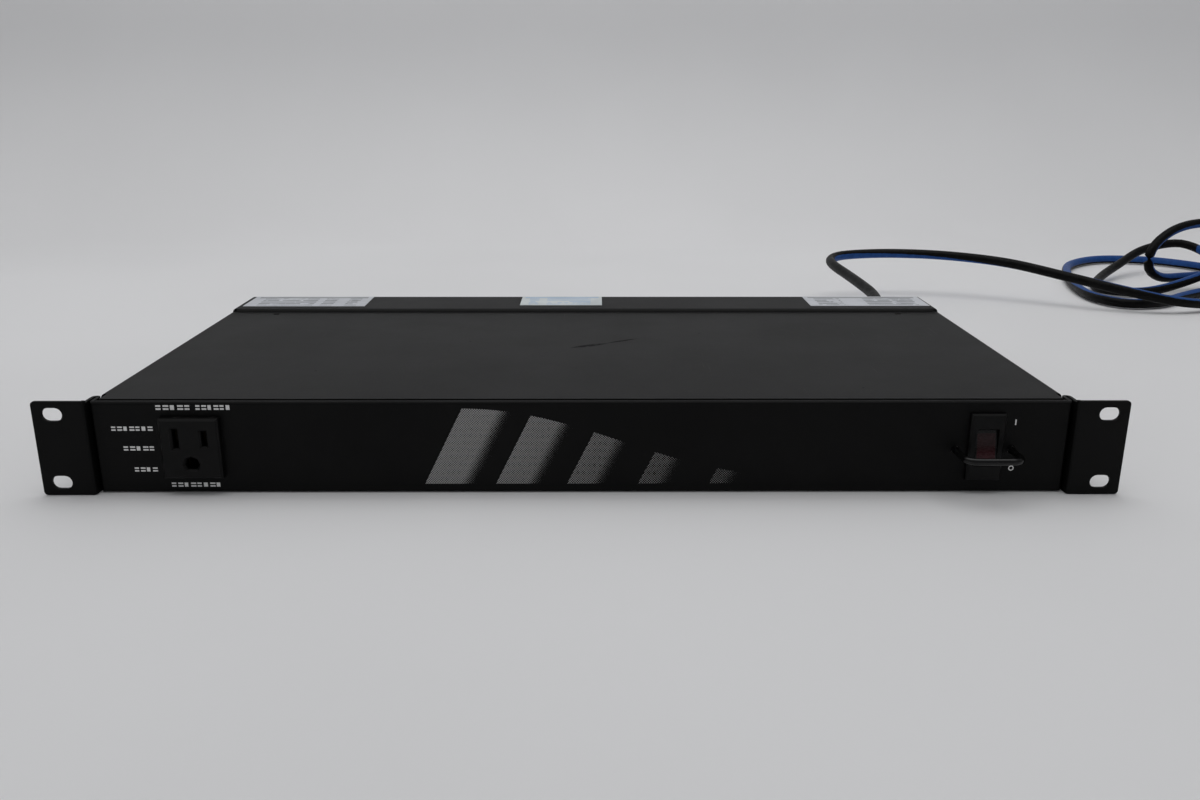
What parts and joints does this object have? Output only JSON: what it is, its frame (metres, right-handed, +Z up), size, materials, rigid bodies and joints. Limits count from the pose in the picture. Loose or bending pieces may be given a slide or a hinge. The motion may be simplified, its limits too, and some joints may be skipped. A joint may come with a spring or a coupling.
{
  "type": "rack power strip",
  "caption": "One-unit rack-mount power strip: folded steel chassis with ears, front outlet and guarded rocker switch, rear outlets and a fixed power cord.",
  "frame": {"origin": "centre of the flat underside of the chassis tray", "axes": "+X to the right seen from the front, +Y toward the rear, +Z up"},
  "size_m": [0.9733, 0.6456, 0.0638],
  "materials": {
    "powder_coat": "fine-textured black powder coat",
    "cover_coat": "satin charcoal powder coat",
    "black_plastic": "moulded black thermoplastic, satin",
    "red_plastic": "dark red translucent plastic, polished",
    "brass": "bare stamped brass",
    "zinc": "zinc-plated steel",
    "gloss_black": "gloss black enamel",
    "cord_jacket": "soft black jacket with a blue side",
    "lamp_glass": "clear neon lamp glass",
    "label_film": "pale printed label film",
    "black_wire": "black wire insulation",
    "white_wire": "white wire insulation",
    "green_wire": "green wire insulation"
  },
  "bodies": {
    "chassis": {"faceplate": "powder_coat", "chassis_tray": "powder_coat", "top_cover": "cover_coat", "rear_hood": "cover_coat", "front_outlet": "black_plastic", "rear_outlet_1": "black_plastic", "rear_outlet_2": "black_plastic", "rear_outlet_3": "black_plastic", "rear_outlet_4": "black_plastic", "rear_outlet_5": "black_plastic", "rear_outlet_6": "black_plastic", "rear_outlet_7": "black_plastic", "rear_outlet_8": "black_plastic", "switch_housing": "black_plastic", "cord_bushing": "black_plastic", "front_neutral_contact": "brass", "front_line_contact": "brass", "front_ground_contact": "brass", "neutral_bus_bar": "brass", "line_bus_bar": "brass", "ground_bus_bar": "brass", "line_terminal": "brass", "load_terminal": "brass", "bimetal_strip": "brass", "plug_line_blade": "brass", "plug_neutral_blade": "brass", "plug_ground_pin": "brass", "cover_screw_left_1": "zinc", "cover_screw_left_2": "zinc", "cover_screw_right_1": "zinc", "cover_screw_right_2": "zinc", "hood_screw_left": "zinc", "hood_screw_right": "zinc", "guard_nut_left": "zinc", "guard_nut_right": "zinc", "ground_screw": "zinc", "ground_lug": "zinc", "switch_guard": "gloss_black", "power_cord": "cord_jacket", "plug_body": "cord_jacket", "label_left": "label_film", "label_middle": "label_film", "label_right": "label_film", "line_wire": "black_wire", "switched_line_wire": "black_wire", "front_line_wire": "black_wire", "neutral_wire": "white_wire", "front_neutral_wire": "white_wire", "ground_wire": "green_wire", "ground_bond_wire": "green_wire", "front_ground_wire": "green_wire"},
    "rocker": {"rocker": "red_plastic", "plunger": "zinc", "plunger_spring": "zinc", "neon_lamp": "lamp_glass"},
    "contact_arm": {"contact_arm": "brass"}
  },
  "joints": [
    {"name": "rocker_press", "type": "hinge", "parent": "chassis", "child": "rocker", "pos_m": [0.18, -0.1114, 0.0218], "axis": [1, 0, 0], "range_deg": [0, 20]},
    {"name": "contact_seesaw", "type": "hinge", "parent": "chassis", "child": "contact_arm", "pos_m": [0.18, -0.1034, 0.0218], "axis": [1, 0, 0], "range_deg": [-12, 0]}
  ],
  "couplings": [
    {"joint": "contact_seesaw", "follows": "rocker_press", "ratio": -0.6}
  ]
}
